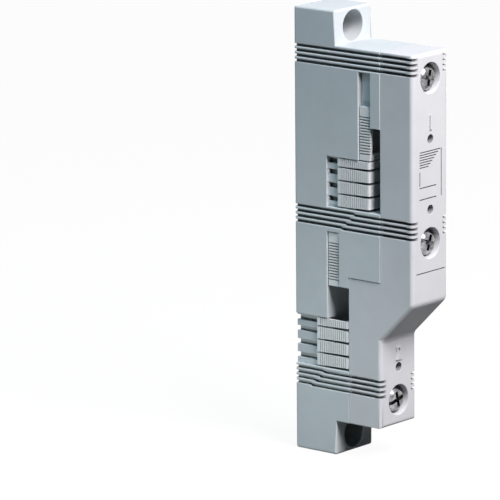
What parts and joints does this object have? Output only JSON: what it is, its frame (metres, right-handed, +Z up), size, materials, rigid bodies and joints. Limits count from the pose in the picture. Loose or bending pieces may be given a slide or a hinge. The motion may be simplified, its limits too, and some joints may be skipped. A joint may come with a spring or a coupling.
{
  "type": "busbar support",
  "caption": "Stepped two-pole busbar support: moulded base with mounting lugs, screwed-on cover, and sliding blocks that set the slots to the width and thickness of flat bars.",
  "frame": {"origin": "middle of the rear mounting face, on the axis of the middle cover screw", "axes": "+X to the right across the bars' width of support, +Y out of the back into the mounting surface, +Z up; the cover faces -Y"},
  "size_m": [0.0212, 0.0551, 0.1666],
  "materials": {
    "base_plastic": "light grey moulded thermoplastic with a fine eroded texture",
    "cover_plastic": "light grey moulded thermoplastic with a fine eroded texture",
    "slider_plastic": "light grey moulded thermoplastic, slightly smoother",
    "plated_steel": "bright zinc plated steel",
    "brass": "turned brass"
  },
  "bodies": {
    "base": {"rear_base": "base_plastic", "thread_insert_top": "brass", "thread_insert_middle": "brass", "thread_insert_bottom": "brass"},
    "cover": {"front_cover": "cover_plastic"},
    "washer_top": {"screw_washer_top": "plated_steel"},
    "screw_top": {"cover_screw_top": "plated_steel"},
    "washer_middle": {"screw_washer_middle": "plated_steel"},
    "screw_middle": {"cover_screw_middle": "plated_steel"},
    "washer_bottom": {"screw_washer_bottom": "plated_steel"},
    "screw_bottom": {"cover_screw_bottom": "plated_steel"},
    "upper_slide": {"upper_slide": "slider_plastic"},
    "lower_slide": {"lower_slide": "slider_plastic"},
    "upper_block_1": {"upper_block_1": "slider_plastic"},
    "upper_block_2": {"upper_block_2": "slider_plastic"},
    "upper_block_3": {"upper_block_3": "slider_plastic"},
    "upper_block_4": {"upper_block_4": "slider_plastic"},
    "lower_block_1": {"lower_block_1": "slider_plastic"},
    "lower_block_2": {"lower_block_2": "slider_plastic"},
    "lower_block_3": {"lower_block_3": "slider_plastic"},
    "lower_block_4": {"lower_block_4": "slider_plastic"}
  },
  "joints": [
    {"name": "cover_lift", "type": "slide", "parent": "base", "child": "cover", "axis": [0, -1, 0], "range_m": [0, 0.025]},
    {"name": "screw_top_back_out", "type": "slide", "parent": "cover", "child": "washer_top", "axis": [0, -1, 0], "range_m": [0, 0.0056]},
    {"name": "screw_top_turn", "type": "hinge", "parent": "washer_top", "child": "screw_top", "pos_m": [0, -0.05135, 0.061], "axis": [0, -1, 0], "range_deg": [0, 2520]},
    {"name": "screw_middle_back_out", "type": "slide", "parent": "cover", "child": "washer_middle", "axis": [0, -1, 0], "range_m": [0, 0.0056]},
    {"name": "screw_middle_turn", "type": "hinge", "parent": "washer_middle", "child": "screw_middle", "pos_m": [0, -0.05135, 0], "axis": [0, -1, 0], "range_deg": [0, 2520]},
    {"name": "screw_bottom_back_out", "type": "slide", "parent": "cover", "child": "washer_bottom", "axis": [0, -1, 0], "range_m": [0, 0.0056]},
    {"name": "screw_bottom_turn", "type": "hinge", "parent": "washer_bottom", "child": "screw_bottom", "pos_m": [0, -0.03655, -0.061], "axis": [0, -1, 0], "range_deg": [0, 2520]},
    {"name": "upper_slide_travel", "type": "slide", "parent": "base", "child": "upper_slide", "axis": [0, 0, 1], "range_m": [0, 0.0122]},
    {"name": "lower_slide_travel", "type": "slide", "parent": "base", "child": "lower_slide", "axis": [0, 0, 1], "range_m": [-0.0122, 0]},
    {"name": "upper_block_1_step", "type": "slide", "parent": "base", "child": "upper_block_1", "axis": [0, -1, 0], "range_m": [-0.0047, 0.0048]},
    {"name": "upper_block_2_step", "type": "slide", "parent": "base", "child": "upper_block_2", "axis": [0, -1, 0], "range_m": [-0.0047, 0.0048]},
    {"name": "upper_block_3_step", "type": "slide", "parent": "base", "child": "upper_block_3", "axis": [0, -1, 0], "range_m": [-0.0047, 0.0048]},
    {"name": "upper_block_4_step", "type": "slide", "parent": "base", "child": "upper_block_4", "axis": [0, -1, 0], "range_m": [-0.0047, 0.0048]},
    {"name": "lower_block_1_step", "type": "slide", "parent": "base", "child": "lower_block_1", "axis": [0, -1, 0], "range_m": [-0.0095, 0]},
    {"name": "lower_block_2_step", "type": "slide", "parent": "base", "child": "lower_block_2", "axis": [0, -1, 0], "range_m": [-0.0095, 0]},
    {"name": "lower_block_3_step", "type": "slide", "parent": "base", "child": "lower_block_3", "axis": [0, -1, 0], "range_m": [-0.0095, 0]},
    {"name": "lower_block_4_step", "type": "slide", "parent": "base", "child": "lower_block_4", "axis": [0, -1, 0], "range_m": [-0.0095, 0]}
  ],
  "couplings": [
    {"joint": "screw_top_turn", "follows": "screw_top_back_out", "rad_per_m": 7854},
    {"joint": "screw_middle_turn", "follows": "screw_middle_back_out", "rad_per_m": 7854},
    {"joint": "screw_bottom_turn", "follows": "screw_bottom_back_out", "rad_per_m": 7854}
  ]
}
